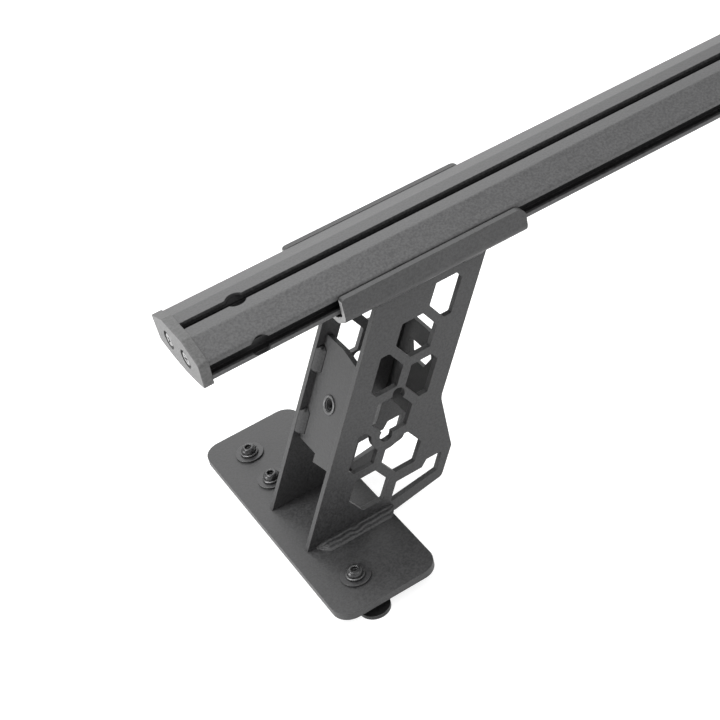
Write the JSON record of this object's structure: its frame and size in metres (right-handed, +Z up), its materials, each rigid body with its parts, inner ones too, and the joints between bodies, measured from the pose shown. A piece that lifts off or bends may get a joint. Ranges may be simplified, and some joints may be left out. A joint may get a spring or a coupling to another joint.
{
  "type": "truck bed crossbar",
  "caption": "Slotted crossbar on two leaning honeycomb-cut risers, which bolt to the rails of a pickup bed and slide along the bar to set their spacing.",
  "frame": {"origin": "middle of the footprint, on the plane that the rail nuts stand on", "axes": "+X along the bar across the truck, +Y along the truck away from the picture's viewer, +Z up"},
  "size_m": [1.524, 0.2532, 0.2423],
  "materials": {
    "bar_black_coat": "satin black powder coat",
    "riser_black_coat": "satin black powder coat",
    "cap_plastic": "fine moulded grain",
    "screw_steel": "black oxide",
    "bolt_steel": "black zinc, worn bright on the rims",
    "insert_steel": "black zinc",
    "rail_nut_steel": "black zinc"
  },
  "bodies": {
    "crossbar": {"crossbar_extrusion": "bar_black_coat", "left_cap_screws": "screw_steel", "left_end_cap": "cap_plastic", "right_cap_screws": "screw_steel", "right_end_cap": "cap_plastic"},
    "left_stand": {"left_base_bolts": "bolt_steel", "left_base_plate": "riser_black_coat", "left_base_welds": "riser_black_coat", "left_clamp_nuts": "bolt_steel", "left_clamp_t_bolts": "bolt_steel", "left_clamp_washers": "bolt_steel", "left_flat_washers": "bolt_steel", "left_lock_washers": "bolt_steel", "left_rail_nut_front": "rail_nut_steel", "left_rail_nut_rear": "rail_nut_steel", "left_rear_web_plate": "riser_black_coat", "left_saddle_channel": "riser_black_coat", "left_saddle_welds": "riser_black_coat", "left_side_plate_front": "riser_black_coat", "left_side_plate_rear": "riser_black_coat", "left_threaded_insert": "insert_steel", "left_web_plate": "riser_black_coat", "left_web_welds": "riser_black_coat"},
    "right_stand": {"right_base_bolts": "bolt_steel", "right_base_plate": "riser_black_coat", "right_base_welds": "riser_black_coat", "right_clamp_nuts": "bolt_steel", "right_clamp_t_bolts": "bolt_steel", "right_clamp_washers": "bolt_steel", "right_flat_washers": "bolt_steel", "right_lock_washers": "bolt_steel", "right_rail_nut_front": "rail_nut_steel", "right_rail_nut_rear": "rail_nut_steel", "right_rear_web_plate": "riser_black_coat", "right_saddle_channel": "riser_black_coat", "right_saddle_welds": "riser_black_coat", "right_side_plate_front": "riser_black_coat", "right_side_plate_rear": "riser_black_coat", "right_threaded_insert": "insert_steel", "right_web_plate": "riser_black_coat", "right_web_welds": "riser_black_coat"}
  },
  "joints": [
    {"name": "left_stand_slide", "type": "slide", "parent": "crossbar", "child": "left_stand", "axis": [1, 0, 0], "range_m": [-0.1, 0.2]},
    {"name": "right_stand_slide", "type": "slide", "parent": "crossbar", "child": "right_stand", "axis": [-1, 0, 0], "range_m": [-0.1, 0.2]}
  ]
}
